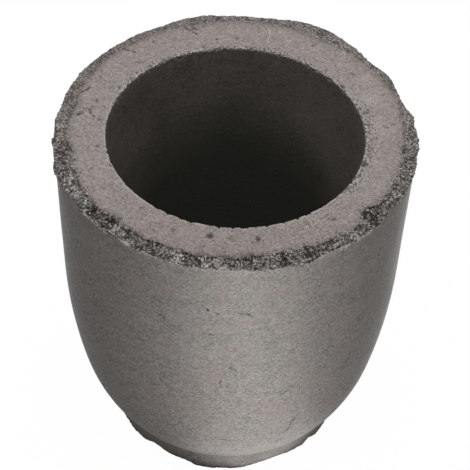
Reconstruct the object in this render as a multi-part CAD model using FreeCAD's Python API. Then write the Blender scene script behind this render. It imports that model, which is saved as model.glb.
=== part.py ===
import FreeCAD, Part
import math
import os
import random

# Small graphite melting crucible: one thick-walled cup, pressed and fired as a single piece.
# Millimetres. Origin at the centre of the underside, +Z up through the mouth, -Y towards the viewer.

# Driving dimensions of the outside
mouth_diameter = 88.0
height = 93.1
wall_lean_degrees = 2.25
belly_radius = 156.0
belly_lean_degrees = 12.9
heel_radius = 47.8
foot_diameter = 59.6
foot_height = 6.3
foot_ledge = 0.5

# Driving dimensions of the bore
bore_diameter = 63.0
bowl_radius = 24.0
floor_thickness = 14.0

# Driving dimensions of the broken edge round the mouth
lip_reach = 0.4
lip_height = 1.9
lip_edge = 0.3
break_width = 3.0
break_drop = 0.9
break_grain = 0.4
break_raise_share = 0.7
break_wander = 0.35
break_lobes = 34
break_stations = 128
break_seed = 11

# The break's section from the top face outwards: shares of its width, of its drop and of a bite's depth
break_profile = (
    (0.12, 0.20, 0.5),
    (0.40, 0.45, 1.0),
    (0.72, 0.70, 0.9),
    (1.00, 1.00, 0.6),
)

# Large bites out of the broken edge: azimuth and half width in degrees, reach inwards, depth
rim_bites = (
    (-38.0, 5.0, 1.9, 1.3),
    (-65.0, 2.0, 1.0, 1.0),
    (-73.0, 2.0, 0.4, 1.4),
    (-83.0, 2.6, 1.5, 1.6),
    (170.0, 7.0, 0.8, 0.9),
    (190.0, 6.0, 0.9, 1.0),
    (219.0, 2.2, 0.5, 1.5),
    (228.0, 2.6, 0.8, 1.4),
    (235.0, 3.0, 1.1, 0.8),
    (246.0, 2.2, 0.4, 1.2),
)

# Swells and hollows of the lip's outline: azimuth and half width in degrees, reach outwards
rim_swells = (
    (0.0, 10.0, 0.4),
    (21.0, 9.0, -0.9),
    (49.0, 6.0, 0.6),
    (63.0, 19.0, 2.7),
    (104.0, 15.0, 1.0),
    (196.0, 16.0, 0.6),
    (-42.0, 26.0, -0.4),
)

# Stretches where less broke off: azimuth and half width in degrees, how much narrower, share of the drop kept
sound_stretches = (
    (32.0, 34.0, 1.7, 0.6),
    (82.0, 45.0, 1.2, 0.8),
    (130.0, 40.0, 1.1, 0.8),
    (180.0, 30.0, 0.0, 0.6),
    (219.0, 8.0, 0.9, 0.0),
    (252.0, 20.0, 0.8, 0.0),
    (-48.0, 5.0, 0.6, 0.0),
)
soundest = 0.85

# Driving dimensions of the chipped edge round the foot
chip_width = 0.45
chip_height = 0.9
chip_grain = 0.2
chip_wander = 0.2
chip_lobes = 26
chip_stations = 72
chip_seed = 5
chip_middle_share = 0.45
chip_hollow_share = 0.5

# Large bites out of the foot's edge: azimuth and half width in degrees, reach inwards, height
foot_bites = (
    (-39.0, 4.0, 0.8, 1.4),
    (-62.0, 24.0, 1.1, 1.0),
    (-116.0, 14.0, 0.8, 0.8),
    (-127.0, 5.5, 1.8, 2.2),
    (75.0, 6.0, 0.8, 1.0),
    (160.0, 5.0, 0.7, 0.8),
)

# How far the cutting bodies pass the surfaces that they cut, and how far a station may stray
cutter_margin = 3.0
cutter_gap = 0.05
station_stray = 0.25

# Sizes worked out from the driving dimensions
mouth_radius = mouth_diameter / 2
bore_radius = bore_diameter / 2
foot_radius = foot_diameter / 2
lip_radius = mouth_radius + lip_reach
break_radius = mouth_radius - break_width
furthest_swell = max(reach for azimuth, half_width, reach in rim_swells)
blank_radius = lip_radius + furthest_swell + break_grain + break_wander


def point(radius, z):
    """A point of the section, in the XZ plane."""
    return FreeCAD.Vector(radius, 0, z)


def straight(start, end):
    """A straight edge of the section."""
    return Part.makeLine(start, end)


def arc(start, centre, end):
    """The short round edge of the section from start to end about a centre."""
    radius = (start - centre).Length
    middle = centre + (start + end - centre * 2).normalize() * radius
    return Part.Arc(start, middle, end).toShape()


def revolve(edges):
    """The solid that a closed section sweeps out round the axis."""
    face = Part.Face(Part.Wire(edges))
    return face.revolve(FreeCAD.Vector(0, 0, 0), FreeCAD.Vector(0, 0, 1), 360)


def outward(lean_degrees):
    """The direction square to a wall that leans in by that angle on its way down."""
    lean = math.radians(lean_degrees)
    return point(math.cos(lean), -math.sin(lean))


def upward(lean_degrees):
    """The direction up along a wall that leans in by that angle on its way down."""
    lean = math.radians(lean_degrees)
    return point(math.sin(lean), math.cos(lean))


def body_blank():
    """The outside before anything broke: foot, egg-shaped belly, nearly straight wall and lip."""
    base_centre = point(0, 0)
    base_edge = point(foot_radius, 0)
    foot_top = point(foot_radius, foot_height)
    heel = point(foot_radius + foot_ledge, foot_height)
    rim = point(mouth_radius, height)
    lip = point(blank_radius, height - lip_edge)
    lip_top = point(blank_radius, height)
    top_centre = point(0, height)
    wall_top = rim - upward(wall_lean_degrees) * lip_height

    # The wall runs into the belly's arc and that into the heel's arc, which ends at the heel
    radius_step = belly_radius - heel_radius
    turn = math.radians(belly_lean_degrees - wall_lean_degrees)
    heel_inset = (rim - heel).dot(outward(wall_lean_degrees))
    centre_inset = belly_radius - radius_step * math.cos(turn)
    centre_rise = math.sqrt(heel_radius ** 2 - (centre_inset - heel_inset) ** 2)
    heel_centre = heel + outward(wall_lean_degrees) * (heel_inset - centre_inset)
    heel_centre += upward(wall_lean_degrees) * centre_rise
    belly_centre = heel_centre - outward(belly_lean_degrees) * radius_step
    belly_end = heel_centre + outward(belly_lean_degrees) * heel_radius
    bend = belly_centre + outward(wall_lean_degrees) * belly_radius

    return revolve([
        straight(base_centre, base_edge),
        straight(base_edge, foot_top),
        straight(foot_top, heel),
        arc(heel, heel_centre, belly_end),
        arc(belly_end, belly_centre, bend),
        straight(bend, wall_top),
        straight(wall_top, lip),
        straight(lip, lip_top),
        straight(lip_top, top_centre),
        straight(top_centre, base_centre),
    ])


def bore():
    """The melting chamber: a tapering bore that runs smoothly into a ball-shaped bowl."""
    mouth = point(bore_radius, height)
    bowl_centre = point(0, floor_thickness + bowl_radius)
    rise = math.atan2(mouth.z - bowl_centre.z, mouth.x)
    spread = math.acos(bowl_radius / (mouth - bowl_centre).Length)
    bowl_edge = bowl_centre + point(math.cos(rise - spread), math.sin(rise - spread)) * bowl_radius
    past_mouth = mouth + (mouth - bowl_edge).normalize() * cutter_margin
    bottom = point(0, floor_thickness)
    top_centre = point(0, past_mouth.z)
    return revolve([
        straight(top_centre, past_mouth),
        straight(past_mouth, bowl_edge),
        arc(bowl_edge, bowl_centre, bottom),
        straight(bottom, top_centre),
    ])


def bump(azimuth, centre, half_width):
    """1 at the centre azimuth, falling smoothly to 0 at the half width on either side."""
    offset = abs((azimuth - centre + 180.0) % 360.0 - 180.0)
    if offset >= half_width:
        return 0.0
    return 0.5 + 0.5 * math.cos(math.pi * offset / half_width)


def lobe_heights(lobes, seed):
    """One height from -1 to 1 for each lobe of a slow wander round the ring."""
    chance = random.Random(seed)
    return [chance.uniform(-1, 1) for lobe in range(lobes)]


def wander(azimuth, heights):
    """The slow wander at one azimuth, smoothly joined from lobe to lobe."""
    place = (azimuth % 360.0) / 360.0 * len(heights)
    lobe = int(place)
    share = 0.5 - 0.5 * math.cos(math.pi * (place - lobe))
    here = heights[lobe % len(heights)]
    there = heights[(lobe + 1) % len(heights)]
    return here + (there - here) * share


def deepest_bite(azimuth, bites):
    """Reach inwards and depth of the largest bite at one azimuth."""
    reach = 0.0
    depth = 0.0
    for centre, half_width, bite_reach, bite_depth in bites:
        share = bump(azimuth, centre, half_width)
        reach = max(reach, bite_reach * share)
        depth = max(depth, bite_depth * share)
    return reach, depth


inner_lobes = lobe_heights(break_lobes, break_seed + 1)
outer_lobes = lobe_heights(break_lobes, break_seed + 2)
drop_lobes = lobe_heights(break_lobes, break_seed + 3)
foot_lobes = lobe_heights(chip_lobes, chip_seed + 1)


def rough_section(azimuth, chance):
    """Section of the break at one azimuth, as radius and height from the top face outwards."""
    bite_reach, bite_depth = deepest_bite(azimuth, rim_bites)
    swell = sum(reach * bump(azimuth, centre, half) for centre, half, reach in rim_swells)
    narrower = sum(less * bump(azimuth, centre, half) for centre, half, less, kept in sound_stretches)
    sound = sum(kept * bump(azimuth, centre, half) for centre, half, less, kept in sound_stretches)
    lost = 1 - min(sound, soundest)
    inner = break_radius + narrower - bite_reach + break_wander * wander(azimuth, inner_lobes)
    inner += chance.uniform(-1, 1) * break_grain
    outer = lip_radius + swell + break_wander * wander(azimuth, outer_lobes)
    slow_drop = break_wander * wander(azimuth, drop_lobes)

    section = [
        (inner - cutter_gap, height + cutter_margin),
        (inner, height + cutter_gap),
    ]
    deepest = 0.0
    for across, fall, bite_share in break_profile:
        radius = inner + (outer - inner) * across + chance.uniform(-1, 1) * break_grain * across
        drop = (break_drop * fall + slow_drop * across) * lost + bite_depth * bite_share
        drop += chance.uniform(-break_raise_share, 1) * break_grain
        deepest = max(deepest, drop, cutter_gap)
        section.append((radius, height - max(drop, cutter_gap)))
    under_drop = max(deepest, lip_height) + cutter_gap + chance.uniform(0, 1) * break_grain
    far_radius = blank_radius + cutter_margin
    section.append((mouth_radius + cutter_gap, height - under_drop))
    section.append((far_radius, height - under_drop - cutter_margin))
    section.append((far_radius, height + cutter_margin))
    return section


def chipped_section(azimuth, chance):
    """Section of the chips round the foot at one azimuth, as radius and height."""
    bite_reach, bite_height = deepest_bite(azimuth, foot_bites)
    slow = chip_wander * wander(azimuth, foot_lobes)
    reach = chip_width + bite_reach + slow + chance.uniform(-1, 1) * chip_grain
    tall = chip_height + bite_height + slow + chance.uniform(-1, 1) * chip_grain
    middle = foot_radius - chip_middle_share * reach - chance.uniform(0, chip_hollow_share) * chip_grain
    far_radius = foot_radius + cutter_margin
    return [
        (foot_radius - reach - cutter_gap, -cutter_margin),
        (foot_radius - reach, -cutter_gap),
        (middle, chip_middle_share * tall),
        (foot_radius + cutter_gap, tall),
        (far_radius, tall + cutter_gap),
        (far_radius, -cutter_margin),
    ]


def ragged_ring(section, stations, seed):
    """A closed ring of flat facets whose section changes by chance from station to station."""
    chance = random.Random(seed)
    rows = []
    for index in range(stations):
        stray = chance.uniform(-station_stray, station_stray)
        degrees = 360.0 * (index + stray) / stations
        angle = math.radians(degrees)
        row = []
        for radius, z in section(degrees, chance):
            row.append(FreeCAD.Vector(radius * math.cos(angle), radius * math.sin(angle), z))
        rows.append(row)

    facets = []
    for index in range(stations):
        here = rows[index]
        there = rows[(index + 1) % stations]
        for corner in range(len(here)):
            following = (corner + 1) % len(here)
            facets.append(facet(here[corner], there[corner], there[following]))
            facets.append(facet(here[corner], there[following], here[following]))
    ring = Part.Solid(Part.Shell(facets))
    if ring.Volume < 0:
        ring.reverse()
    return ring


def facet(first, second, third):
    """A flat three-cornered face."""
    return Part.Face(Part.makePolygon([first, second, third, first]))


def crucible():
    """The whole cup, bored out, with its edges broken at the mouth and chipped at the foot."""
    cup = body_blank().cut(bore())
    cup = cup.cut(ragged_ring(rough_section, break_stations, break_seed))
    cup = cup.cut(ragged_ring(chipped_section, chip_stations, chip_seed))
    if len(cup.Solids) != 1 or not cup.isValid():
        raise RuntimeError("the crucible did not come out as one sound solid")
    return cup.Solids[0]


os.makedirs("parts", exist_ok=True)
cup = crucible()
cup.exportStep("parts/crucible.step")
print("crucible: volume %.1f cm3, faces %d" % (cup.Volume / 1000.0, len(cup.Faces)))
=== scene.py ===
import math
import random

import bpy
import numpy as np
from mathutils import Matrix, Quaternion, Vector, noise


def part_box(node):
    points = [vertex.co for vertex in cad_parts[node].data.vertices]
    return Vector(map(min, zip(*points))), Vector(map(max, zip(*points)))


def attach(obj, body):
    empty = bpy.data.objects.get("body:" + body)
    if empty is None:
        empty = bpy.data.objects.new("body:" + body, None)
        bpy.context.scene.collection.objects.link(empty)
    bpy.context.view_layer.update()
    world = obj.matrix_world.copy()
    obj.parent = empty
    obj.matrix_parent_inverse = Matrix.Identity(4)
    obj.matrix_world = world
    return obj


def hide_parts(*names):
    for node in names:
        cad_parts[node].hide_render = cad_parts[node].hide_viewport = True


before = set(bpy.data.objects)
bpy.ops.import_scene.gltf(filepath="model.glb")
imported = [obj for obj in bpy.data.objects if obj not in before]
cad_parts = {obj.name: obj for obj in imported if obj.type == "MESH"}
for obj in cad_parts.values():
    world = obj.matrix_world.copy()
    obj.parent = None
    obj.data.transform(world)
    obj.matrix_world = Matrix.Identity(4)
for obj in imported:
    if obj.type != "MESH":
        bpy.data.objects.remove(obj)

bl_info = {
    "name": "Graphite Melting Crucible",
    "version": (1, 0, 0),
    "blender": (4, 5, 0),
    "location": "3D View > Sidebar > Crucible",
    "description": "Dresses a small graphite melting crucible with a broken rim and a chipped foot",
    "category": "Object",
}

# Metres. Origin at the centre of the underside, +Z up through the mouth, -Y towards the viewer.
MM = 0.001
FULL_TURN = 360.0
TRIANGLE_LIMIT = 200000

# Points in one turn of the fine, middle and coarse rings
FINE = 1440
MIDDLE = 720
COARSE = 360

# The break's section from the top face outwards: shares of its width, of its drop and of a bite's depth
BREAK_PROFILE = (
    (0.12, 0.20, 0.5),
    (0.40, 0.45, 1.0),
    (0.72, 0.70, 0.9),
    (1.00, 1.00, 0.6),
)

# Large bites out of the broken edge: azimuth and half width in degrees, reach inwards and depth in mm
RIM_BITES = (
    (-38.0, 5.0, 1.9, 1.3),
    (-65.0, 2.0, 1.0, 1.0),
    (-73.0, 2.0, 0.4, 1.4),
    (-83.0, 2.6, 1.5, 1.6),
    (170.0, 7.0, 0.8, 0.9),
    (190.0, 6.0, 0.9, 1.0),
    (219.0, 2.2, 0.5, 1.5),
    (228.0, 2.6, 0.8, 1.4),
    (235.0, 3.0, 1.1, 0.8),
    (246.0, 2.2, 0.4, 1.2),
)

# Swells and hollows of the lip's outline: azimuth and half width in degrees, reach outwards in mm
RIM_SWELLS = (
    (0.0, 10.0, 0.4),
    (21.0, 9.0, -0.9),
    (49.0, 6.0, 0.6),
    (63.0, 19.0, 2.7),
    (104.0, 15.0, 1.0),
    (196.0, 16.0, 0.6),
    (-42.0, 26.0, -0.4),
)

# Stretches where less broke off: azimuth and half width in degrees, width spared in mm, share of drop kept
SOUND_STRETCHES = (
    (32.0, 34.0, 1.7, 0.6),
    (82.0, 45.0, 1.2, 0.8),
    (130.0, 40.0, 1.1, 0.8),
    (180.0, 30.0, 0.0, 0.6),
    (219.0, 8.0, 0.9, 0.0),
    (252.0, 20.0, 0.8, 0.0),
    (-48.0, 5.0, 0.6, 0.0),
)

# Large bites out of the foot's edge: azimuth and half width in degrees, reach inwards and height in mm
FOOT_BITES = (
    (-39.0, 4.0, 0.8, 1.4),
    (-62.0, 24.0, 1.1, 1.0),
    (-116.0, 14.0, 0.8, 0.8),
    (-127.0, 5.5, 1.8, 2.2),
    (75.0, 6.0, 0.8, 1.0),
    (160.0, 5.0, 0.7, 0.8),
)

# How far below the top face the broken look runs down the wall: azimuth in degrees, drop in mm
HEM_DROPS = (
    (-153.0, 1.6),
    (-138.0, 1.2),
    (-131.0, 1.9),
    (-124.0, 0.7),
    (-114.0, 1.4),
    (-101.0, 1.5),
    (-86.0, 0.9),
    (-80.0, 1.7),
    (-72.0, 1.2),
    (-66.0, 2.4),
    (-62.0, 0.6),
    (-50.0, 0.6),
    (-34.0, 0.8),
    (-26.0, 1.0),
    (0.0, 1.6),
    (180.0, 2.2),
)

# How coarse and crisp the break looks, from 0 to 1: azimuth in degrees, share
CRISPNESS = (
    (-170.0, 0.6),
    (-155.0, 0.85),
    (-140.0, 1.0),
    (-30.0, 1.0),
    (-5.0, 0.85),
    (12.0, 0.5),
    (35.0, 0.3),
    (100.0, 0.25),
    (150.0, 0.3),
    (175.0, 0.4),
)

# Pits in the sawn top face: azimuth in degrees, then radius, width and depth in mm
FACE_PITS = (
    (-98.2, 34.8, 1.0, 0.4),
    (-79.8, 35.4, 0.9, 0.4),
    (163.7, 35.9, 0.6, 0.3),
    (174.0, 33.3, 0.6, 0.3),
    (-156.9, 32.0, 0.5, 0.25),
    (36.0, 31.7, 1.0, 0.5),
    (-15.5, 32.2, 1.1, 0.5),
    (61.1, 38.7, 0.5, 0.25),
)

# Dark strokes on the sawn top face: azimuth and radius of both ends, then width, in degrees and mm
FACE_STROKES = (
    (161.6, 40.3, 157.9, 39.1, 0.61),
    (136.5, 35.8, 133.7, 34.3, 0.34),
    (134.5, 41.7, 132.6, 38.8, 0.47),
    (109.9, 41.3, 106.6, 38.2, 0.47),
    (107.6, 40.9, 105.0, 39.4, 0.41),
    (173.1, 39.2, 171.6, 37.9, 0.54),
    (-161.7, 42.0, -157.6, 40.6, 0.54),
    (-156.3, 41.9, -159.4, 40.0, 0.47),
    (-154.0, 41.6, -156.8, 39.6, 0.41),
    (-136.8, 41.5, -135.1, 40.6, 0.47),
    (-133.4, 40.6, -130.5, 39.6, 0.54),
    (169.5, 36.7, 173.6, 34.9, 0.41),
    (-122.3, 36.7, -118.3, 38.1, 0.30),
)

# Chalky streaks on the sawn top face, given in the same way
FACE_SCRATCHES = (
    (79.6, 40.4, 77.5, 34.6, 0.28),
    (71.0, 35.3, 69.2, 37.9, 0.30),
    (51.6, 42.6, 47.8, 39.6, 0.30),
    (50.4, 43.4, 46.7, 41.0, 0.30),
)

# Chalky patches on the sawn top face: azimuth in degrees, radius and size in mm
FACE_PATCHES = (
    (24.0, 36.0, 4.5),
    (8.0, 34.5, 4.5),
    (-12.0, 33.5, 3.5),
    (33.0, 38.5, 3.0),
)

# Where the bore's edge has crumbled: azimuth and half width in degrees, reach in mm, share of dark grains
CRUMBLED_STRETCHES = (
    (95.0, 75.0, 1.4, 0.7),
    (-8.0, 45.0, 3.2, 0.4),
    (-95.0, 60.0, 0.4, 0.3),
)

# Dark marks on the wall: azimuth and height of both ends, then width, in degrees and mm
WALL_MARKS = (
    (-112.5, 71.0, -111.2, 71.8, 0.35),
    (-111.4, 71.4, -110.2, 69.8, 0.35),
    (-36.4, 79.4, -35.8, 82.0, 0.60),
    (-35.2, 73.0, -35.2, 76.5, 0.45),
    (-63.6, 30.2, -64.8, 27.6, 0.50),
    (-64.8, 27.2, -65.6, 23.6, 0.45),
    (-88.8, 55.8, -87.2, 55.2, 0.45),
    (-91.8, 50.6, -91.6, 48.8, 0.45),
    (-90.8, 23.4, -89.6, 23.2, 0.60),
    (-69.0, 18.6, -66.5, 19.4, 0.45),
    (-101.4, 27.4, -100.8, 27.6, 0.50),
    (-112.0, 49.0, -110.6, 49.2, 0.50),
    (-112.6, 46.4, -112.2, 46.0, 0.50),
    (-70.8, 43.2, -68.4, 44.0, 0.50),
    (-98.6, 68.4, -94.0, 68.2, 0.30),
    (-86.6, 76.5, -83.0, 75.6, 0.40),
    (-97.0, 77.4, -93.0, 75.8, 0.35),
)


def length(name, description, millimetres):
    """A length that a user may change."""
    return bpy.props.FloatProperty(
        name=name, description=description, default=millimetres * MM, unit="LENGTH", precision=5)


def number(name, description, value):
    """A plain number that a user may change."""
    return bpy.props.FloatProperty(name=name, description=description, default=value, precision=4)


def count(name, description, value):
    """A whole number that a user may change."""
    return bpy.props.IntProperty(name=name, description=description, default=value, min=1)


def turn(name, description, degrees):
    """An angle that a user may change."""
    return bpy.props.FloatProperty(
        name=name, description=description, default=math.radians(degrees), unit="ROTATION")


def colour(name, description, red, green, blue):
    """A colour that a user may change."""
    return bpy.props.FloatVectorProperty(
        name=name, description=description, default=(red, green, blue), subtype="COLOR", min=0.0, max=1.0)


class CrucibleSizes(bpy.types.PropertyGroup):
    """The crucible's own sizes, as the solid has them."""

    mouth_diameter: length("Mouth diameter", "Across the wall at the top face", 88.0)
    wall_lean: turn("Wall lean", "How far the wall leans in on its way down", 2.25)
    belly_radius: length("Belly radius", "Radius of the long arc under the wall", 156.0)
    belly_lean: turn("Belly lean", "Where the belly's arc meets the heel's arc", 12.9)
    heel_radius: length("Heel radius", "Radius of the arc that runs in to the foot", 47.8)
    foot_diameter: length("Foot diameter", "Across the disc that the cup stands on", 59.6)
    foot_height: length("Foot height", "Height of that disc", 6.3)
    foot_ledge: length("Foot ledge", "How far the body stands out over the foot", 0.5)
    bore_diameter: length("Bore diameter", "Across the bore at the mouth", 63.0)
    bowl_radius: length("Bowl radius", "Radius of the ball-shaped bottom of the bore", 24.0)
    floor_thickness: length("Floor thickness", "From the underside to the bottom of the bore", 14.0)


class EdgeSizes(bpy.types.PropertyGroup):
    """The broken edge round the mouth and the chipped edge round the foot."""

    lip_reach: length("Lip reach", "How far the broken lip stands out past the wall", 0.4)
    lip_height: length("Lip height", "How far down the lip runs out into the wall", 1.9)
    lip_edge: length("Lip edge", "Height of the lip's outer edge before it broke", 0.3)
    break_width: length("Break width", "How far the break reaches in over the top face", 3.0)
    break_drop: length("Break drop", "How far the break falls below the top face", 0.9)
    break_grain: length("Break grain", "How far the facets of the break stand out", 0.4)
    soundest: number("Soundest", "Largest share of the drop that a sound stretch keeps", 0.85)
    break_raise_share: number("Break raise share", "How far a facet may rise for its sink", 0.7)
    break_wander: length("Break wander", "How far the break's edge strays", 0.35)
    break_lobes: count("Break lobes", "How often the break's edge strays in one turn", 34)
    break_stations: count("Break stations", "Sections of the break in one turn", 128)
    break_seed: count("Break seed", "Picks the break's chance form", 11)
    chip_width: length("Chip width", "How far the chips reach in under the foot", 0.45)
    chip_height: length("Chip height", "How far up the foot the chips reach", 0.9)
    chip_grain: length("Chip grain", "How far the chips' facets stand out", 0.2)
    chip_wander: length("Chip wander", "How far the chips' edge strays", 0.2)
    chip_lobes: count("Chip lobes", "How often the chips' edge strays in one turn", 26)
    chip_stations: count("Chip stations", "Sections of the chipped edge in one turn", 72)
    chip_seed: count("Chip seed", "Picks the chips' chance form", 5)
    chip_middle_share: number("Chip middle share", "Where the chips' section has its corner", 0.45)
    chip_hollow_share: number("Chip hollow share", "How hollow the chips' section may be", 0.5)
    cutter_gap: length("Cutter gap", "How far the breaks start clear of a face", 0.05)
    station_stray: number("Station stray", "How unevenly the sections are spaced", 0.25)


class GrainSizes(bpy.types.PropertyGroup):
    """The fine relief that only the dressed surface has."""

    coarse_size: length("Coarse grain", "Width of the coarse grains in the break", 1.6)
    coarse_relief: length("Coarse relief", "Height between coarse grains", 0.25)
    middle_size: length("Middle grain", "Width of the middle grains in the break", 0.7)
    middle_relief: length("Middle relief", "Height between middle grains", 0.10)
    fine_size: length("Fine grain", "Width of the fine grains in the break", 0.45)
    fine_relief: length("Fine relief", "Height between fine grains", 0.08)
    worn_span: turn("Worn span", "Over how long a stretch a worn edge is smoothed", 5.0)
    fringe_width: length("Fringe width", "How far the break frays into its neighbours", 1.1)
    fringe_stray: length("Fringe stray", "How far the frayed edge strays", 0.65)
    fringe_soft: length("Fringe softness", "How far the frayed edge takes to fade", 0.35)
    fray_reach: length("Fray reach", "How far dark grains lie strewn over the sawn face", 2.6)
    wall_wave: length("Wall wave", "Height of the wall's slow waves", 0.05)
    wall_wave_size: length("Wall wave size", "Width of the wall's slow waves", 15.0)
    face_wave: length("Face wave", "Depth of the hollows in the sawn face", 0.10)
    face_wave_size: length("Face wave size", "Width of the hollows in the sawn face", 3.0)
    edge_round: length("Bore edge round", "How far the bore's edge is worn", 0.25)
    edge_nibble: length("Bore edge nibble", "Depth of the small chips in the bore's edge", 0.45)
    edge_nibble_size: length("Bore nibble size", "Width of those chips", 1.1)
    edge_dust: length("Bore edge dust", "How far pale dust lies round the bore's edge", 0.7)
    bore_wave: length("Bore wave", "Height of the bore's slow waves", 0.06)
    face_pit_count: count("Face pits", "Small chance pits in the sawn face", 60)


class Finishes(bpy.types.PropertyGroup):
    """The colours of the wall, the sawn face, the broken edge and the bore, and how strongly each shows."""

    wall_dark: colour("Wall, dark", "The fired wall where it is clean", 0.150, 0.147, 0.131)
    wall_light: colour("Wall, light", "The fired wall where it is dusty", 0.330, 0.305, 0.287)
    # The foot's paler colour is painted light where the lamps leave the foot dark.
    foot_painted_light: colour("Foot", "The rubbed foot", 0.420, 0.385, 0.360)
    wall_pink: colour("Wall, pink", "The fired wall where it is burnt pinkish", 0.280, 0.232, 0.220)
    face_dark: colour("Sawn face, dark", "Stains on the sawn face", 0.150, 0.128, 0.120)
    face_light: colour("Sawn face, light", "The sawn face where it is clean", 0.400, 0.350, 0.335)
    chalk: colour("Chalk", "Pale dust in scratches and along the bore's edge", 0.52, 0.49, 0.47)
    # Painted shade in hollows, gaps, bites and the foot's crease, and the real colour of dark flecks, marks
    # and grains.
    break_dark: colour("Break, dark", "Hollows of the broken edge", 0.030, 0.025, 0.021)
    break_middle: colour("Break, middle", "Most grains of the broken edge", 0.240, 0.217, 0.203)
    break_worn: colour("Break, worn", "Hollows where the edge is worn smooth", 0.085, 0.068, 0.062)
    break_rubbed: colour("Break, rubbed", "Grains where the edge is worn smooth", 0.290, 0.252, 0.240)
    # Bright grains: partly paler grains, partly painted highlights on the flakes.
    break_pale_and_highlight: colour("Break, light", "Bright grains of the broken edge", 0.680, 0.650, 0.610)
    break_dust: number("Break dust", "Strength of the broken edge's fine grains", 0.6)
    break_sand: number("Break sand", "Strength of its larger grains", 0.4)
    break_speck: number("Break specks", "Strength of its soft specks", 0.24)
    # How dark the painted shade in the large bites is.
    bite_shade_share: number("Sunk share", "How dark the large bites are", 0.95)
    # How dark the painted shade in the gaps between the grains is.
    gap_shade_share: number("Gap share", "How dark the gaps between the grains are", 0.9)
    # The bore's dark colour is its burnt surface and also painted shade deep down. Its mouth colour is dust
    # and also painted light near the mouth.
    bore_dark: colour("Bore, dark", "The bore where it is burnt", 0.047, 0.048, 0.039)
    bore_mouth_dust_and_light: colour("Bore, mouth", "The bore's dust near the mouth", 0.150, 0.131, 0.115)
    wall_dust_least: number("Wall dust, least", "Share of the light tone in the wall's dark clouds", 0.39)
    wall_dust_most: number("Wall dust, most", "Share of the light tone in the wall's pale clouds", 0.58)
    wall_draw: number("Wall draw", "Strength of the marks that run round the wall", 0.16)
    wall_speck: number("Wall specks", "Strength of the wall's soft specks", 0.09)
    wall_speckle: number("Wall speckle", "Strength of the wall's fine grains", 0.22)
    belly_grain: number("Belly grain", "How much stronger the grains show on the belly", 3.4)
    upper_grain: number("Upper grain", "How much stronger they show on the upper wall", 1.6)
    pink_share: number("Pink share", "How strongly the pinkish clouds show", 0.5)
    fleck_share: number("Fleck share", "How dark the wall's flecks are", 0.85)
    mark_share: number("Mark share", "How dark the marks on the wall are", 0.75)
    glint_share: number("Glint share", "How bright the glints low on the wall are", 0.6)
    dust_fall_share: number("Dust fall share", "How pale the dust just under the broken edge is", 0.4)
    wall_metal: number("Wall metal", "How metallic the wall shines", 0.5)
    wall_smooth: number("Wall roughness, least", "Roughness of the wall's smoothest spots", 0.58)
    wall_rough: number("Wall roughness, most", "Roughness of the wall's roughest spots", 0.72)
    break_roughness: number("Break roughness", "Roughness of the broken look on the wall", 0.8)
    wall_sheen: number("Wall sheen", "How strongly the wall's fine dust lights up at the outline", 0.3)
    wall_sheen_roughness: number("Wall sheen roughness", "How wide that light line is", 0.22)
    face_clean_least: number("Face clean, least", "Share of the light tone in the face's stains", 0.40)
    face_clean_most: number("Face clean, most", "Share of the light tone between the stains", 0.62)
    face_speck: number("Face specks", "Strength of the face's soft specks", 0.10)
    face_sand: number("Face sand", "Strength of the face's larger grains", 0.16)
    face_dust: number("Face dust", "Strength of the face's fine grains", 0.27)
    pit_share: number("Pit share", "How dark the face's smallest pits are", 0.7)
    patch_share: number("Patch share", "How pale the chalky patches are", 0.55)
    scratch_share: number("Scratch share", "How pale the scratches are", 0.6)
    # The larger pits' darkness is painted shade in them.
    stroke_share: number("Stroke share", "How dark the strokes and the larger pits are", 0.85)
    crumb_share: number("Crumb share", "How dark the crumbled grains by the bore are", 0.7)
    loose_share: number("Loose share", "How pale the loose grains among them are", 0.5)
    face_smooth: number("Face roughness, least", "Roughness of the face's stains", 0.72)
    face_rough: number("Face roughness, most", "Roughness of the face between the stains", 0.9)
    face_gloss: number("Face gloss", "Strength of the face's gloss", 0.3)
    bore_dust_least: number("Bore dust, least", "Share of the dust in the bore's dark clouds", 0.55)
    bore_dust_most: number("Bore dust, most", "Share of the dust in the bore's pale clouds", 0.95)
    bore_speck: number("Bore specks", "Strength of the bore's soft specks", 0.16)
    bore_grit: number("Bore grit", "Strength of the bore's grains", 0.24)
    bore_draw: number("Bore draw", "Strength of the marks that run round the bore", 0.12)
    bore_fleck_share: number("Bore fleck share", "How pale the bore's flecks are", 0.4)
    bore_chalk_share: number("Bore chalk share", "How pale the dust along the bore's edge is", 0.7)
    bore_smooth: number("Bore roughness, least", "Roughness of the bore's smoothest spots", 0.6)
    bore_rough: number("Bore roughness, most", "Roughness of the bore's roughest spots", 0.75)
    bore_gloss: number("Bore gloss", "Strength of the bore's gloss", 0.4)


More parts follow.
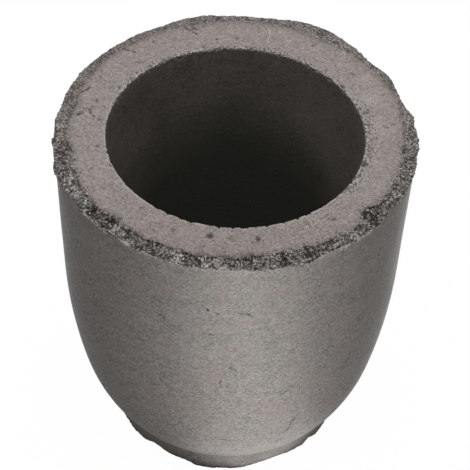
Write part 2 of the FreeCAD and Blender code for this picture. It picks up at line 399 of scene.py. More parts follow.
class StageSizes(bpy.types.PropertyGroup):
    """The floor, the lamps and the camera."""

    floor_radius: length("Floor radius", "Radius of the floor", 3000.0)
    camera_back: length("Camera back", "How far in front of the axis the camera stands", 384.757)
    camera_rise: length("Camera rise", "How far above the top face the camera stands", 361.589)
    aim_right: length("Aim right", "How far right of the axis the camera aims", 0.877)
    aim_drop: length("Aim drop", "How far below the top face the camera aims", 35.018)
    camera_roll: turn("Camera roll", "How far the camera leans about its view", 2.3745)
    focal_length: number("Focal length", "In mm, on the 36 mm sensor", 166.935)
    strip_power: number("Strip power", "Power in watts of the low lamp that lies in front", 0.40)
    strip_width: length("Strip width", "Width of the low lamp", 108.0)
    strip_length: length("Strip length", "Length of the low lamp, away from the crucible", 335.0)
    strip_near: length("Strip near", "From the axis to the low lamp's near end", 85.0)
    apron_power: number("Apron power", "Power in watts of the lamp between the foot and the low lamp", 0.0120)
    apron_width: length("Apron width", "Width of that lamp", 46.0)
    apron_near: length("Apron near", "From the axis to that lamp's near end", 30.5)
    apron_azimuth: turn("Apron azimuth", "How far right of the front that lamp lies", 17.0)
    strip_level: length("Strip level", "Height of the low lamps over the floor", 0.5)
    strip_azimuth: turn("Strip azimuth", "How far right of the front the low lamp lies", 7.5)
    top_power: number("Top power", "Power of the overhead lamp in watts", 9.6)
    top_width: length("Top width", "Width of the overhead lamp", 900.0)
    top_distance: length("Top distance", "From the crucible to the overhead lamp", 1100.0)
    back_power: number("Back power", "Power in watts of the lamp behind, which lights the outline", 4.0)
    back_width: length("Back width", "Width of the lamp behind", 650.0)
    back_height: length("Back height", "Height of the lamp behind", 250.0)
    back_distance: length("Back distance", "From the axis to the lamp behind", 600.0)
    back_azimuth: turn("Back azimuth", "How far left of due right the lamp behind stands", 72.0)
    ambient: number("Ambient", "Strength of the light from all round", 0.225)


# What repeats the solid's own breaks


def bump(azimuth, centre, half_width):
    """1 at the centre azimuth, falling smoothly to 0 at the half width on either side."""
    offset = abs((azimuth - centre + 180.0) % FULL_TURN - 180.0)
    if offset >= half_width:
        return 0.0
    return 0.5 + 0.5 * math.cos(math.pi * offset / half_width)


def lobe_heights(lobes, seed):
    """One height from -1 to 1 for each lobe of a slow wander round the ring."""
    chance = random.Random(seed)
    return [chance.uniform(-1, 1) for lobe in range(lobes)]


def wander(azimuth, heights):
    """The slow wander at one azimuth, smoothly joined from lobe to lobe."""
    place = (azimuth % FULL_TURN) / FULL_TURN * len(heights)
    lobe = int(place)
    share = 0.5 - 0.5 * math.cos(math.pi * (place - lobe))
    here = heights[lobe % len(heights)]
    there = heights[(lobe + 1) % len(heights)]
    return here + (there - here) * share


def by_azimuth(azimuths, table):
    """The table's second column at the azimuths, in straight runs between its rows."""
    return np.interp(azimuths, [row[0] for row in table], [row[1] for row in table], period=FULL_TURN)


def deepest_bite(azimuth, bites):
    """Reach inwards and depth of the largest bite at one azimuth."""
    reach = 0.0
    depth = 0.0
    for centre, half_width, bite_reach, bite_depth in bites:
        share = bump(azimuth, centre, half_width)
        reach = max(reach, bite_reach * MM * share)
        depth = max(depth, bite_depth * MM * share)
    return reach, depth


class Shape:
    """The crucible's outlines, worked out from the sizes."""

    def __init__(self, sizes, edges, height):
        self.sizes = sizes
        self.edges = edges
        self.height = height
        self.mouth_radius = sizes.mouth_diameter / 2
        self.bore_radius = sizes.bore_diameter / 2
        self.foot_radius = sizes.foot_diameter / 2
        self.heel_edge = self.foot_radius + sizes.foot_ledge
        furthest_swell = max(reach for azimuth, half_width, reach in RIM_SWELLS) * MM
        self.lip_radius = self.mouth_radius + edges.lip_reach
        self.blank_radius = self.lip_radius + furthest_swell + edges.break_grain + edges.break_wander
        self.inner_lobes = lobe_heights(edges.break_lobes, edges.break_seed + 1)
        self.outer_lobes = lobe_heights(edges.break_lobes, edges.break_seed + 2)
        self.drop_lobes = lobe_heights(edges.break_lobes, edges.break_seed + 3)
        self.foot_lobes = lobe_heights(edges.chip_lobes, edges.chip_seed + 1)
        self.set_wall_arcs()
        self.set_bowl()

    def set_wall_arcs(self):
        """Centres and ends of the two arcs that run from the wall in to the heel."""
        sizes = self.sizes
        out = np.array([math.cos(sizes.wall_lean), -math.sin(sizes.wall_lean)])
        up = np.array([math.sin(sizes.wall_lean), math.cos(sizes.wall_lean)])
        heel = np.array([self.heel_edge, sizes.foot_height])
        rim = np.array([self.mouth_radius, self.height])
        radius_step = sizes.belly_radius - sizes.heel_radius
        heel_inset = (rim - heel) @ out
        centre_inset = sizes.belly_radius - radius_step * math.cos(sizes.belly_lean - sizes.wall_lean)
        centre_rise = math.sqrt(sizes.heel_radius ** 2 - (centre_inset - heel_inset) ** 2)
        belly_out = np.array([math.cos(sizes.belly_lean), -math.sin(sizes.belly_lean)])
        self.heel_centre = heel + out * (heel_inset - centre_inset) + up * centre_rise
        self.belly_centre = self.heel_centre - belly_out * radius_step
        self.belly_end = (self.heel_centre + belly_out * sizes.heel_radius)[1]
        self.bend = (self.belly_centre + out * sizes.belly_radius)[1]
        self.wall_slope = math.tan(sizes.wall_lean)

    def set_bowl(self):
        """Where the tapering bore runs into the ball-shaped bowl."""
        radius = self.sizes.bowl_radius
        self.bowl_centre = self.sizes.floor_thickness + radius
        rise = self.height - self.bowl_centre
        reach = math.hypot(self.bore_radius, rise)
        lean = math.atan2(rise, self.bore_radius) - math.acos(radius / reach)
        self.bowl_edge = (radius * math.cos(lean), self.bowl_centre + radius * math.sin(lean))
        self.bowl_lean = lean

    def outer_radius(self, z):
        """Radius of the sound outer wall at the heights z."""
        sizes = self.sizes
        wall = self.mouth_radius - (self.height - z) * self.wall_slope
        belly_reach = np.maximum(sizes.belly_radius ** 2 - (z - self.belly_centre[1]) ** 2, 0)
        heel_reach = np.maximum(sizes.heel_radius ** 2 - (z - self.heel_centre[1]) ** 2, 0)
        belly = self.belly_centre[0] + np.sqrt(belly_reach)
        heel = self.heel_centre[0] + np.sqrt(heel_reach)
        return np.where(z > self.bend, wall, np.where(z > self.belly_end, belly, heel))

    def blank_limit(self, z):
        """Radius that nothing passes at the heights z, with the lip as it was before it broke."""
        lip_foot = self.height - self.edges.lip_height
        flare_height = self.edges.lip_height - self.edges.lip_edge
        flare = np.clip((z - lip_foot) / flare_height, 0, 1)
        wall = self.outer_radius(np.minimum(z, lip_foot))
        return wall + (self.blank_radius - wall) * flare

    def rough_section(self, azimuth, chance):
        """Section of the break at one azimuth, as radius and height from the top face outwards."""
        edges = self.edges
        grain = edges.break_grain
        bite_reach, bite_depth = deepest_bite(azimuth, RIM_BITES)
        swell = sum(reach * MM * bump(azimuth, centre, half) for centre, half, reach in RIM_SWELLS)
        narrower = 0.0
        sound = 0.0
        for centre, half, less, kept in SOUND_STRETCHES:
            share = bump(azimuth, centre, half)
            narrower += less * MM * share
            sound += kept * share
        lost = 1 - min(sound, edges.soundest)
        inner = self.mouth_radius - edges.break_width + narrower - bite_reach
        inner += edges.break_wander * wander(azimuth, self.inner_lobes) + chance.uniform(-1, 1) * grain
        outer = self.lip_radius + swell + edges.break_wander * wander(azimuth, self.outer_lobes)
        slow_drop = edges.break_wander * wander(azimuth, self.drop_lobes)
        section = [(inner, self.height)]
        deepest = 0.0
        for across, fall, bite_share in BREAK_PROFILE:
            radius = inner + (outer - inner) * across + chance.uniform(-1, 1) * grain * across
            drop = (edges.break_drop * fall + slow_drop * across) * lost + bite_depth * bite_share
            drop += chance.uniform(-edges.break_raise_share, 1) * grain
            drop = max(drop, edges.cutter_gap)
            deepest = max(deepest, drop)
            section.append((radius, self.height - drop))
        under_drop = max(deepest, edges.lip_height) + edges.cutter_gap + chance.uniform(0, 1) * grain
        section.append((self.mouth_radius + edges.cutter_gap, self.height - under_drop))
        return section

    def chipped_section(self, azimuth, chance):
        """Section of the chips round the foot at one azimuth, from the underside outwards."""
        edges = self.edges
        bite_reach, bite_height = deepest_bite(azimuth, FOOT_BITES)
        slow = edges.chip_wander * wander(azimuth, self.foot_lobes)
        reach = edges.chip_width + bite_reach + slow + chance.uniform(-1, 1) * edges.chip_grain
        tall = edges.chip_height + bite_height + slow + chance.uniform(-1, 1) * edges.chip_grain
        hollow = chance.uniform(0, edges.chip_hollow_share) * edges.chip_grain
        middle = self.foot_radius - edges.chip_middle_share * reach - hollow
        return [
            (self.foot_radius - reach, 0.0),
            (middle, edges.chip_middle_share * tall),
            (self.foot_radius, tall),
        ]


def ring_outline(section, stations, stray, seed, wanted):
    """The corners of a chance section, spread over evenly spaced stations round the ring."""
    chance = random.Random(seed)
    azimuths = []
    sections = []
    for index in range(stations):
        azimuth = FULL_TURN * (index + chance.uniform(-stray, stray)) / stations
        azimuths.append(azimuth)
        sections.append(section(azimuth, chance))
    corners = np.array(sections)
    places = np.arange(wanted) * FULL_TURN / wanted
    spread = []
    for corner in range(corners.shape[1]):
        radius = np.interp(places, azimuths, corners[:, corner, 0], period=FULL_TURN)
        z = np.interp(places, azimuths, corners[:, corner, 1], period=FULL_TURN)
        spread.append((radius, z))
    return np.array(spread)


def worn(corners, span):
    """The spread corners, smoothed round the ring where the break is worn."""
    half = round(math.degrees(span) / FULL_TURN * FINE)
    rolled = [np.roll(corners, step, axis=2) for step in range(-half, half + 1)]
    smoothed = sum(rolled) / len(rolled)
    crisp = by_azimuth(np.arange(FINE) * FULL_TURN / FINE, CRISPNESS)
    return smoothed + (corners - smoothed) * crisp


def along(corners, steps):
    """Evenly spaced points along the outline through the corners, for all stations at once."""
    shortest = 1e-9
    spans = np.diff(corners, axis=0)
    lengths = np.maximum(np.hypot(spans[:, 0], spans[:, 1]), shortest)
    starts = np.cumsum(lengths, axis=0) - lengths
    total = lengths.sum(axis=0)
    rows = []
    for share in np.linspace(0, 1, steps + 1):
        gone = np.clip((share * total - starts) / lengths, 0, 1)
        rows.append(corners[0] + (spans * gone[:, None]).sum(axis=0))
    return rows


# The mesh, as rings of points from the centre of the underside over the rim to the bottom of the bowl

# The skin's regions, from the underside over the rim to the bore, and which finish each has
UNDER, FOOT, WALL, FRINGE, BREAK, FACE, EDGE, BORE = range(8)
FINISH_OF_REGION = {UNDER: 0, FOOT: 0, WALL: 0, FRINGE: 0, BREAK: 1, FACE: 1, EDGE: 1, BORE: 2}

# Shares of the break's relief that the chips, the foot's side, its ledge and the sawn face's edge take
CHIP_ROUGH = 0.4
SIDE_ROUGH = 0.25
LEDGE_ROUGH = 0.15
FACE_ROUGH = 0.5


class Rings:
    """Rings of points, each with its region and how much of the break's relief it takes."""

    def __init__(self):
        self.points = []
        self.regions = []
        self.rough = []

    def add(self, radius, z, stations, region, rough=0.0):
        """One ring, thinned from the finest ring's points."""
        step = FINE // stations
        radius = np.broadcast_to(radius, FINE)[::step]
        z = np.broadcast_to(z, FINE)[::step]
        angle = np.arange(stations) * (2 * math.pi / stations)
        self.points.append(np.stack([radius * np.cos(angle), radius * np.sin(angle), z], axis=1))
        self.regions.append(region)
        self.rough.append(rough)


def crowded(steps, power):
    """Shares of the way at each step, with the steps shorter towards the end."""
    return [1 - (1 - step / steps) ** power for step in range(1, steps + 1)]


def foot_rings(rings, shape):
    """The underside, the chipped edge, the side of the foot and its ledge."""
    edges = shape.edges
    chip_steps = 7
    chips = ring_outline(
        shape.chipped_section, edges.chip_stations, edges.station_stray, edges.chip_seed, FINE)
    flat_edge = chips[0][0]
    for share in (0.3, 0.6, 0.9):
        rings.add(flat_edge * share, 0.0, COARSE, UNDER)
    for radius, z in along(chips, chip_steps):
        rings.add(radius, z, MIDDLE, FOOT, CHIP_ROUGH)
    top = shape.sizes.foot_height
    side_start = chips[2][1]
    for share in (0.2, 0.4, 0.6, 0.8, 0.95):
        rings.add(shape.foot_radius, side_start + (top - side_start) * share, MIDDLE, FOOT, SIDE_ROUGH)
    rings.add(shape.foot_radius, top, MIDDLE, FOOT, LEDGE_ROUGH)
    rings.add(shape.heel_edge, top, MIDDLE, WALL, LEDGE_ROUGH)


def wall_rings(rings, shape, break_foot, grains):
    """The outer wall from the ledge up to the frayed foot of the break."""
    steps = 41
    crowding = 1.15
    fringe_steps = 5
    fringe_share = 1.6
    bottom = shape.sizes.foot_height
    fringe_foot = break_foot - grains.fringe_width * fringe_share
    for share in crowded(steps, crowding):
        z = bottom + (fringe_foot - bottom) * share
        rings.add(shape.outer_radius(z), z, COARSE, WALL)
    for step in range(1, fringe_steps):
        share = step / fringe_steps
        z = fringe_foot + (break_foot - fringe_foot) * share
        rings.add(shape.outer_radius(z), z, FINE, FRINGE)


def break_rings(rings, shape, corners):
    """The broken edge, from its foot on the wall up and in to the sawn face."""
    steps = 20
    outline = along(corners, steps)
    for radius, z in reversed(outline[1:]):
        rings.add(np.minimum(radius, shape.blank_limit(z)), z, FINE, BREAK, 1.0)
    radius, z = outline[0]
    rings.add(radius, z, FINE, FACE, FACE_ROUGH)


def face_rings(rings, shape, face_edge, grains):
    """The sawn face, from the break in to the worn edge of the bore."""
    steps = 17
    crowding = 1.25
    round_steps = 4
    frayed = grains.fringe_width
    for share in (0.25, 0.5, 0.75, 1.0):
        rings.add(face_edge - frayed * share, shape.height, FINE, FACE, FACE_ROUGH * (1 - share) ** 2)
    start = face_edge - frayed
    end = shape.bore_radius + grains.edge_round
    for share in crowded(steps, crowding):
        rings.add(start + (end - start) * share, shape.height, MIDDLE, FACE)
    for step in range(1, round_steps + 1):
        angle = math.pi / 2 * step / round_steps
        radius = end - grains.edge_round * math.sin(angle)
        z = shape.height - grains.edge_round * (1 - math.cos(angle))
        rings.add(radius, z, MIDDLE, EDGE)


def bore_rings(rings, shape, grains):
    """The tapering bore and the bowl, down to just short of the bowl's centre."""
    first_drops = (0.25 * MM, 0.55 * MM, 0.95 * MM, 1.5 * MM)
    steps = 18
    bowl_steps = 13
    bowl_radius, bowl_z = shape.bowl_edge
    start_z = shape.height - grains.edge_round
    slope = (shape.bore_radius - bowl_radius) / (shape.height - bowl_z)
    for drop in first_drops:
        z = start_z - drop
        rings.add(shape.bore_radius - (shape.height - z) * slope, z, MIDDLE, BORE)
    start = start_z - first_drops[-1]
    for step in range(1, steps + 1):
        z = start + (bowl_z - start) * step / steps
        rings.add(shape.bore_radius - (shape.height - z) * slope, z, COARSE, BORE)
    for step in range(1, bowl_steps):
        angle = shape.bowl_lean + (-math.pi / 2 - shape.bowl_lean) * step / bowl_steps
        radius = shape.sizes.bowl_radius * math.cos(angle)
        rings.add(radius, shape.bowl_centre + shape.sizes.bowl_radius * math.sin(angle), COARSE, BORE)


def strip(low_start, low_count, high_start, high_count):
    """The faces between two rings of points, which may differ in number by a whole ratio."""
    if low_count == high_count:
        here = np.arange(low_count)
        there = (here + 1) % low_count
        quads = np.stack([low_start + here, low_start + there, high_start + there, high_start + here], axis=1)
        return np.concatenate([quads[:, [0, 1, 2]], quads[:, [0, 2, 3]]])
    flip = low_count > high_count
    few, many = sorted((low_count, high_count))
    few_start, many_start = (high_start, low_start) if flip else (low_start, high_start)
    ratio = many // few
    half = ratio // 2
    faces = []
    for corner in range(few):
        here = few_start + corner
        there = few_start + (corner + 1) % few
        for step in range(ratio):
            first = many_start + (corner * ratio + step) % many
            second = many_start + (corner * ratio + step + 1) % many
            near = here if step < half else there
            faces.append((near, first, second) if flip else (near, second, first))
            if step == half - 1:
                faces.append((here, second, there) if flip else (here, there, second))
    return np.array(faces)


def fan(centre, start, stations, upward):
    """The faces between a centre point and the ring round it."""
    here = start + np.arange(stations)
    there = start + (np.arange(stations) + 1) % stations
    middle = np.full(stations, centre)
    return np.stack([middle, here, there] if upward else [middle, there, here], axis=1)


def vertex_normals(points, faces):
    """Unit normals at the points, each face counted by its area."""
    smallest = 1e-15
    corners = points[faces]
    face_normals = np.cross(corners[:, 1] - corners[:, 0], corners[:, 2] - corners[:, 0])
    normals = np.zeros_like(points)
    for corner in range(3):
        np.add.at(normals, faces[:, corner], face_normals)
    return normals / np.maximum(np.linalg.norm(normals, axis=1), smallest)[:, None]


# The relief

# Which part of its noise each relief reads
COARSE_SEED, MIDDLE_SEED, FINE_SEED = 1, 2, 3
WALL_SEED = 4
HOLLOW_SEED = 5
RAGGED_SEED = 6
NIBBLE_SEED = 8
BORE_SEED = 9
STRAY_SEED, FINE_STRAY_SEED = 21, 22
PIT_SEED = 23
BITE_SHADE_SEED = 24

# How far apart in a noise two seeds look, and where the grains' tilts are read
NOISE_STEPS = (7.3, 3.1, 5.7)
GRAIN_STEPS = (11.7, 4.9, 8.3)
TILT_PLACE = Vector((31, 17, 5))


def shifted(seed, steps):
    """Where in a noise a seed looks."""
    return Vector([seed * step for step in steps])


def slow_field(points, size, seed):
    """Smooth noise from about -1 to 1, at points in metres."""
    offset = shifted(seed, NOISE_STEPS)
    return np.array([noise.noise(Vector(point / size) + offset) for point in points])


def layered_field(points, size, seed):
    """Noise with four layers, each weaker and twice as fine as the one before."""
    weaker, finer, layers = 1.0, 2.0, 4
    offset = shifted(seed, NOISE_STEPS)
    return np.array([noise.fractal(Vector(point / size) + offset, weaker, finer, layers) for point in points])


def grain_field(points, size, seed):
    """Tilted flat grains with gaps between them: height, distance from the gap, and tone from 0 to 1."""
    tilting = 1.2
    offset = shifted(seed, GRAIN_STEPS)
    heights = np.zeros(len(points))
    gaps = np.zeros(len(points))
    tones = np.zeros(len(points))
    for index, point in enumerate(points):
        place = Vector(point / size) + offset
        distances, centres = noise.voronoi(place)
        tone = noise.cell(centres[0])
        tilt = noise.cell_vector(centres[0] + TILT_PLACE)
        heights[index] = tone + tilting * tilt.dot(place - centres[0])
        gaps[index] = distances[1] - distances[0]
        tones[index] = tone
    return heights, gaps, tones


def pit_depths(points, pits):
    """How deep the pits reach at the points."""
    depths = np.zeros(len(points))
    for azimuth, radius, width, depth in pits:
        angle = math.radians(azimuth)
        centre = np.array([radius * MM * math.cos(angle), radius * MM * math.sin(angle)])
        away = np.linalg.norm(points[:, :2] - centre, axis=1) / (width * MM)
        depths = np.maximum(depths, depth * MM * np.clip(1 - away ** 2, 0, 1))
    return depths


def chance_pits(shape, wanted):
    """Small pits at chance places on the sawn face, as azimuth in degrees, radius, width and depth in mm."""
    innermost = shape.bore_radius / MM + 0.8
    outermost = 40.2
    widths = (0.35, 0.7)
    depths = (0.08, 0.26)
    chance = random.Random(PIT_SEED)
    pits = []
    for index in range(wanted):
        azimuth = chance.uniform(0, FULL_TURN)
        radius = chance.uniform(innermost, outermost)
        pits.append((azimuth, radius, chance.uniform(*widths), chance.uniform(*depths)))
    return pits


# What each point carries for the finishes, all from 0 to 1
MARKS = ("broken", "crisp", "fray", "bite_shade", "cavity_shade", "chalk", "crumbled")


class Surface:
    """All points of the crucible with their regions, relief and marks."""

    def __init__(self, shape, grains):
        edges = shape.edges
        corners = ring_outline(
            shape.rough_section, edges.break_stations, edges.station_stray, edges.break_seed, FINE)
        corners = worn(corners, grains.worn_span)
        rings = Rings()
        foot_rings(rings, shape)
        wall_rings(rings, shape, corners[-1][1], grains)
        break_rings(rings, shape, corners)
        face_rings(rings, shape, corners[0][0], grains)
        bore_rings(rings, shape, grains)
        self.shape = shape
        self.grains = grains
        self.join(rings)
        self.radius = np.linalg.norm(self.points[:, :2], axis=1)
        self.azimuth = np.degrees(np.arctan2(self.points[:, 1], self.points[:, 0]))
        self.marks = {name: np.zeros(len(self.points)) for name in MARKS}
        self.mark_broken(corners[0][0])
        self.relieve()

    def join(self, rings):
        """Joins the rings into one closed skin."""
        counts = [len(ring) for ring in rings.points]
        starts = np.cumsum([0] + counts)[:-1]
        under = np.array([[0.0, 0.0, 0.0]])
        bowl = np.array([[0.0, 0.0, self.shape.sizes.floor_thickness]])
        self.points = np.concatenate(rings.points + [under, bowl])
        self.region = np.concatenate(
            [np.full(size, region) for size, region in zip(counts, rings.regions)] + [[UNDER, BORE]])
        self.rough = np.concatenate(
            [np.full(size, rough) for size, rough in zip(counts, rings.rough)] + [[0.0, 0.0]])
        total = len(self.points)
        faces = [fan(total - 2, starts[0], counts[0], False)]
        regions = [np.full(counts[0], UNDER)]
        for index in range(len(counts) - 1):
            made = strip(starts[index], counts[index], starts[index + 1], counts[index + 1])
            faces.append(made)
            regions.append(np.full(len(made), rings.regions[index + 1]))
        faces.append(fan(total - 1, starts[-1], counts[-1], True))
        regions.append(np.full(counts[-1], BORE))
        self.faces = np.concatenate(faces)
        self.face_region = np.concatenate(regions)

    def push(self, chosen, normals, depths):
        """Moves the chosen points along their normals."""
        self.points[chosen] += normals[chosen] * depths[:, None]

    def mark_broken(self, face_edge):
        """Where the broken look reaches, with ragged limits, and where dark grains lie strewn beside it."""
        grains = self.grains
        searched = 10 * MM
        clearly = 0.2 * MM
        hem_band = 1.2 * MM
        hem_fade = 0.8 * MM
        stray_size = 1.5 * MM
        fine_stray_size = 0.6 * MM
        fine_stray_share = 0.8
        stations = np.arange(FINE) * FULL_TURN / FINE
        edge = np.interp(self.azimuth, stations, face_edge, period=FULL_TURN)
        hem = self.shape.height - MM * by_azimuth(self.azimuth, HEM_DROPS)
        chosen = np.flatnonzero(self.points[:, 2] > self.shape.height - searched)
        chosen = chosen[self.region[chosen] != BORE]
        places = self.points[chosen]
        fine_stray = slow_field(places, fine_stray_size, FINE_STRAY_SEED)
        stray = slow_field(places, stray_size, STRAY_SEED) + fine_stray_share * fine_stray
        past_edge = self.radius[chosen] - edge[chosen]
        past_hem = places[:, 2] - hem[chosen]
        in_bite = self.radius[chosen] < self.shape.outer_radius(places[:, 2]) - clearly
        inside = np.minimum(past_edge, np.where(in_bite, grains.fringe_width, past_hem))
        inside += grains.fringe_stray * stray
        self.marks["broken"][chosen] = np.clip(0.5 + inside / grains.fringe_soft, 0, 1)
        self.marks["fray"][chosen] = np.clip(1 + past_edge / grains.fray_reach, 0, 1)
        self.marks["crisp"] = by_azimuth(self.azimuth, CRISPNESS)
        outside = self.radius > self.shape.mouth_radius - clearly
        self.low_on_wall = outside & (self.points[:, 2] < hem + hem_band)
        calmed = np.clip(0.6 + past_hem / hem_fade, 0.05, 1)
        self.rough[chosen] *= np.where(in_bite, 1, calmed)

    def relieve(self):
        """Gives each region its own relief."""
        normals = vertex_normals(self.points, self.faces)
        self.relieve_break(normals)
        self.relieve_wall(normals)
        self.relieve_face()
        self.relieve_edge()
        self.relieve_bore(normals)

    def relieve_break(self, normals):
        """Grains of three sizes, with painted shade in the gaps between them and on the lowest grains, and in
        the large bites.

        Each layer has its size, relief, seed, the width of its gaps and how dark the painted shade in them
        is.
        """
        grains = self.grains
        least_rough = 0.01
        worn_share = 0.25
        darkest_tones = 0.35
        ground_size = 1.2 * MM
        chosen = np.flatnonzero(self.rough > least_rough)
        places = self.points[chosen]
        rough = self.rough[chosen] * (worn_share + (1 - worn_share) * self.marks["crisp"][chosen])
        depths = np.zeros(len(chosen))
        cavity_shade = np.zeros(len(chosen))
        layers = (
            (grains.coarse_size, grains.coarse_relief, COARSE_SEED, 0.18, 0.6),
            (grains.middle_size, grains.middle_relief, MIDDLE_SEED, 0.18, 0.4),
            (grains.fine_size, grains.fine_relief, FINE_SEED, 0.14, 0.2),
        )
        for size, relief, seed, gap_width, darkening in layers:
            heights, gaps, tones = grain_field(places, size, seed)
            gap = np.clip(1 - gaps / gap_width, 0, 1)
            depths += relief * (heights - 0.5 - 0.5 * gap)
            cavity_shade = np.maximum(cavity_shade, darkening * gap)
            cavity_shade = np.maximum(cavity_shade, darkening * np.clip(darkest_tones - tones, 0, 1))
        self.push(chosen, normals, depths * rough)
        self.marks["cavity_shade"][chosen] = cavity_shade * np.clip(rough * 1.5, 0, 1)
        # Painted shade in the large bites, in patches.
        bites = [max(bump(azimuth, centre, half) for centre, half, reach, depth in RIM_BITES)
                 for azimuth in self.azimuth[chosen]]
        bite_shade_patches = np.clip(0.8 + 1.2 * slow_field(places, ground_size, BITE_SHADE_SEED), 0, 1)
        self.marks["bite_shade"][chosen] = np.array(bites) * bite_shade_patches * np.clip(rough * 1.5 - 0.5, 0, 1)

    def relieve_wall(self, normals):
        """Slow waves of the pressed wall."""
        chosen = np.flatnonzero(self.region == WALL)
        waves = slow_field(self.points[chosen], self.grains.wall_wave_size, WALL_SEED)
        self.push(chosen, normals, waves * self.grains.wall_wave)

    def relieve_face(self):
        """Shallow hollows and pits in the sawn face, which never rise above it."""
        grains = self.grains
        full_dark = 0.17 * MM
        ragged_size = 0.42 * MM
        chosen = np.flatnonzero(self.region == FACE)
        places = self.points[chosen]
        hollows = np.abs(layered_field(places, grains.face_wave_size, HOLLOW_SEED)) * grains.face_wave
        pits = FACE_PITS + tuple(chance_pits(self.shape, grains.face_pit_count))
        depths = pit_depths(places, pits)
        ragged = np.clip(0.7 + 1.9 * slow_field(places, ragged_size, RAGGED_SEED), 0, 1.6)
        self.points[chosen, 2] -= hollows + depths * ragged
        # Painted shade in the pits, darker where they are deeper.
        pitted = np.clip(depths * ragged / full_dark, 0, 1)
        self.marks["cavity_shade"][chosen] = np.maximum(self.marks["cavity_shade"][chosen], pitted)

    def relieve_edge(self):
        """Small chips nibbled out of the edge of the bore, with dust along it."""
        grains = self.grains
        far_out = 0.9 * MM
        far_in = 2.0 * MM
        far_down = 1.5 * MM
        searched = 1.6 * MM
        down_share = 0.7
        past_edge = self.radius - self.shape.bore_radius
        drop = self.shape.height - self.points[:, 2]
        near_edge = (past_edge < far_out) & (past_edge > -far_in) & (drop < searched)
        chosen = np.flatnonzero(near_edge)
        places = self.points[chosen]
        nibble = np.clip(layered_field(places, grains.edge_nibble_size, NIBBLE_SEED) - 0.1, 0, 1)
        fade = np.clip(1 - drop[chosen] / far_down, 0, 1) * np.clip(1 - past_edge[chosen] / far_out, 0, 1)
        outwards = places[:, :2] / self.radius[chosen][:, None]
        depth = grains.edge_nibble * 2 * nibble * fade
        self.points[chosen, :2] += outwards * depth[:, None]
        self.points[chosen, 2] -= depth * down_share
        away = np.maximum(past_edge, drop)
        self.marks["chalk"] = np.clip(1 - away / grains.edge_dust, 0, 1) * (past_edge > -0.5 * MM)
        crumbled = self.marks["crumbled"]
        on_edge = (past_edge > -1.0 * MM) & (drop < far_down)
        for centre, half_width, reach, share in CRUMBLED_STRETCHES:
            spread = np.array([bump(azimuth, centre, half_width) for azimuth in self.azimuth])
            here = np.clip(1 - past_edge / (reach * MM), 0, 1) * on_edge
            crumbled = np.maximum(crumbled, share * here * np.minimum(2 * spread, 1))
        self.marks["crumbled"] = crumbled

    def relieve_bore(self, normals):
        """Slow waves of the bore."""
        wave_size = 9 * MM
        chosen = np.flatnonzero(self.region == BORE)
        waves = layered_field(self.points[chosen], wave_size, BORE_SEED)
        self.push(chosen, normals, waves * self.grains.bore_wave)

    def keep_inside(self, low, high):
        """Keeps every point inside the solid's own box."""
        self.points = np.clip(self.points, np.array(low), np.array(high))


def make_mesh(surface, name, finishes):
    """A Blender object from the surface, with its finishes and the marks that they read."""
    sharp_from = math.radians(50)
    mesh = bpy.data.meshes.new(name)
    mesh.from_pydata(surface.points.tolist(), [], surface.faces.tolist())
    for finish in finishes:
        mesh.materials.append(finish)
    slots = np.array([FINISH_OF_REGION[region] for region in surface.face_region], np.int32)
    low_break = (surface.face_region == BREAK) & surface.low_on_wall[surface.faces].all(axis=1)
    slots[low_break] = FINISH_OF_REGION[WALL]
    mesh.polygons.foreach_set("material_index", slots)
    flat = (surface.face_region == BREAK) & ~low_break
    mesh.polygons.foreach_set("use_smooth", ~flat)
    for label, values in surface.marks.items():
        attribute = mesh.attributes.new(label, "FLOAT", "POINT")
        attribute.data.foreach_set("value", np.asarray(values, np.float32))
    mesh.update()
    mesh.set_sharp_from_angle(angle=sharp_from)
    piece = bpy.data.objects.new(name, mesh)
    bpy.context.scene.collection.objects.link(piece)
    return piece


# The finishes

# Where most of a finely and of a coarsely layered noise lies
NOISE_LOW = 0.35
NOISE_HIGH = 0.65
CLOUD_LOW = 0.3
CLOUD_HIGH = 0.7

# Between which values one look passes over to the next
HOLLOW_TONES = (0.26, 0.48)
FLAKE_HIGHLIGHT_TONES = (0.58, 0.86)
BITE_SHADE_TONES = (-0.05, 0.25)
PINK_CLOUDS = (0.42, 0.62)
STAIN_CLOUDS = (0.3, 0.6)
DUST_TONES = (0.85, 1.1)
CRUMB_TONES = (0.35, 0.75)
CHALK_TONES = (0.30, 0.75)
GLINT_GRAINS = (0.80, 1.0)
FLECK_GRAINS = (0.45, 0.85)
PIT_GRAINS = (0.35, 0.6)

# From where to where a fleck fades, as shares of the space between flecks
FLECK_FADE = (0.09, 0.20)
PIT_FADE = (0.10, 0.20)
BORE_FLECK_FADE = (0.06, 0.12)

# Widths of the grains that several finishes share
DUST = 0.27 * MM
CRUMB = 0.30 * MM
SAND = 0.45 * MM

WHITE = (1.0, 1.0, 1.0, 1.0)
FLOOR_TO_LIGHT = (0.30, 0.30, 0.30, 1.0)
FLOOR_TO_EYE = (0.95, 0.95, 0.95, 1.0)
FLOOR_GLOW = 0.98


